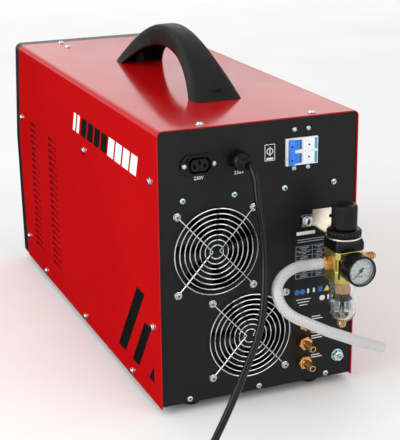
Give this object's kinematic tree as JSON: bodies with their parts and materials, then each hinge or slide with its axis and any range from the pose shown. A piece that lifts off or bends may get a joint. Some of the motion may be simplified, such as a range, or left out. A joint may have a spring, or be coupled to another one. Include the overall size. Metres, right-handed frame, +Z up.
{
  "type": "plasma cutter unit",
  "caption": "Case-built air plasma cutting power unit with carrying handle, rear fans, mains breaker, gas fittings, filter regulator with gauge, air hose and mains cable.",
  "frame": {"origin": "under the middle of the machine without its cords, on the surface that it stands on", "axes": "+Z up, +Y out of the rear panel along the case, +X to the side with the louvres seen beside the rear panel"},
  "size_m": [0.3581, 1.032, 0.4601],
  "materials": {
    "cover_red": "gloss",
    "case_black": "satin",
    "plastic_black": "fine texture",
    "rubber_black": "matte",
    "zinc_plate": "bluish zinc plate",
    "chrome_wire": "polished",
    "brass_fitting": "bright",
    "gilt_casting": "yellow chromate die casting",
    "nickel_plate": "bright nickel",
    "breaker_white": "semi gloss",
    "toggle_blue": "semi gloss",
    "clear_plastic": "clear moulding",
    "sintered_bronze": "sintered",
    "hose_clear": "translucent braided PVC",
    "display_dark": "smoked window",
    "winding_copper": "enamelled copper",
    "heatsink_aluminium": "extruded",
    "board_green": "solder resist"
  },
  "bodies": {
    "machine": {"air_hose": "hose_clear", "base_pan": "case_black", "bonnet_ring": "plastic_black", "bracket_bolt": "chrome_wire", "breaker_body": "breaker_white", "cable_gland": "plastic_black", "control_board": "board_green", "cover_shell": "cover_red", "display_window": "display_dark", "earth_bolt": "zinc_plate", "fan_frame_lower": "plastic_black", "fan_frame_upper": "plastic_black", "fan_grille_lower": "chrome_wire", "fan_grille_upper": "chrome_wire", "filter_baffle": "plastic_black", "filter_bowl": "clear_plastic", "filter_element": "sintered_bronze", "foot_front_left": "rubber_black", "foot_front_right": "rubber_black", "foot_rear_left": "rubber_black", "foot_rear_right": "rubber_black", "front_bezel": "plastic_black", "front_panel": "case_black", "gas_fitting_1": "brass_fitting", "gas_fitting_2": "brass_fitting", "gas_fitting_3": "brass_fitting", "gauge_case": "plastic_black", "gauge_dial": "breaker_white", "gauge_lens": "clear_plastic", "handle": "plastic_black", "handle_bolt_front": "zinc_plate", "handle_bolt_rear": "zinc_plate", "heatsink": "heatsink_aluminium", "inlet_fitting": "brass_fitting", "inverter_board": "board_green", "mains_cable": "rubber_black", "mains_coil": "rubber_black", "mains_plug": "rubber_black", "mid_shelf": "zinc_plate", "outlet_fitting": "brass_fitting", "outlet_socket": "plastic_black", "output_choke": "winding_copper", "power_transformer": "winding_copper", "rear_panel": "case_black", "regulator_body": "gilt_casting", "regulator_bonnet": "plastic_black", "regulator_bracket": "nickel_plate", "smoothing_capacitor": "plastic_black", "solenoid_valve": "brass_fitting", "torch_connector": "brass_fitting", "work_clamp_socket": "plastic_black"},
    "breaker_lever": {"breaker_lever": "toggle_blue"},
    "fan_rotor_upper": {"fan_rotor_upper": "plastic_black"},
    "fan_rotor_lower": {"fan_rotor_lower": "plastic_black"},
    "adjusting_screw": {"adjusting_screw": "zinc_plate"},
    "regulator_knob": {"regulator_knob": "plastic_black"},
    "gauge_needle": {"gauge_needle": "plastic_black"},
    "drain_valve": {"drain_valve": "brass_fitting"},
    "current_knob": {"current_knob": "plastic_black"},
    "mode_button": {"mode_button": "toggle_blue"}
  },
  "joints": [
    {"name": "breaker_toggle", "type": "hinge", "parent": "machine", "child": "breaker_lever", "pos_m": [-0.0492, 0.29515, 0.337], "axis": [0, 0, 1], "range_deg": [0, 70]},
    {"name": "fan_spin_upper", "type": "hinge", "parent": "machine", "child": "fan_rotor_upper", "pos_m": [0.0615, 0.28515, 0.2183], "axis": [0, 1, 0], "continuous": true},
    {"name": "fan_spin_lower", "type": "hinge", "parent": "machine", "child": "fan_rotor_lower", "pos_m": [0.0143, 0.28515, 0.0948], "axis": [0, 1, 0], "continuous": true},
    {"name": "pressure_turn", "type": "hinge", "parent": "machine", "child": "adjusting_screw", "pos_m": [-0.0912, 0.35615, 0.26], "axis": [0, 0, 1], "range_deg": [-720, 720]},
    {"name": "knob_lift", "type": "slide", "parent": "adjusting_screw", "child": "regulator_knob", "axis": [0, 0, 1], "range_m": [0, 0.004]},
    {"name": "gauge_pointer", "type": "hinge", "parent": "machine", "child": "gauge_needle", "pos_m": [-0.0912, 0.40115, 0.203], "axis": [0, -1, 0], "range_deg": [0, 270]},
    {"name": "drain_push", "type": "slide", "parent": "machine", "child": "drain_valve", "axis": [0, 0, 1], "range_m": [0, 0.0025], "stiffness_N_per_m": 300},
    {"name": "current_turn", "type": "hinge", "parent": "machine", "child": "current_knob", "pos_m": [0.07, -0.37791, 0.3], "axis": [0, -0.9896, 0.1441], "range_deg": [0, 270]},
    {"name": "mode_press", "type": "slide", "parent": "machine", "child": "mode_button", "axis": [0, 0.9896, -0.1441], "range_m": [0, 0.0015], "stiffness_N_per_m": 400}
  ]
}
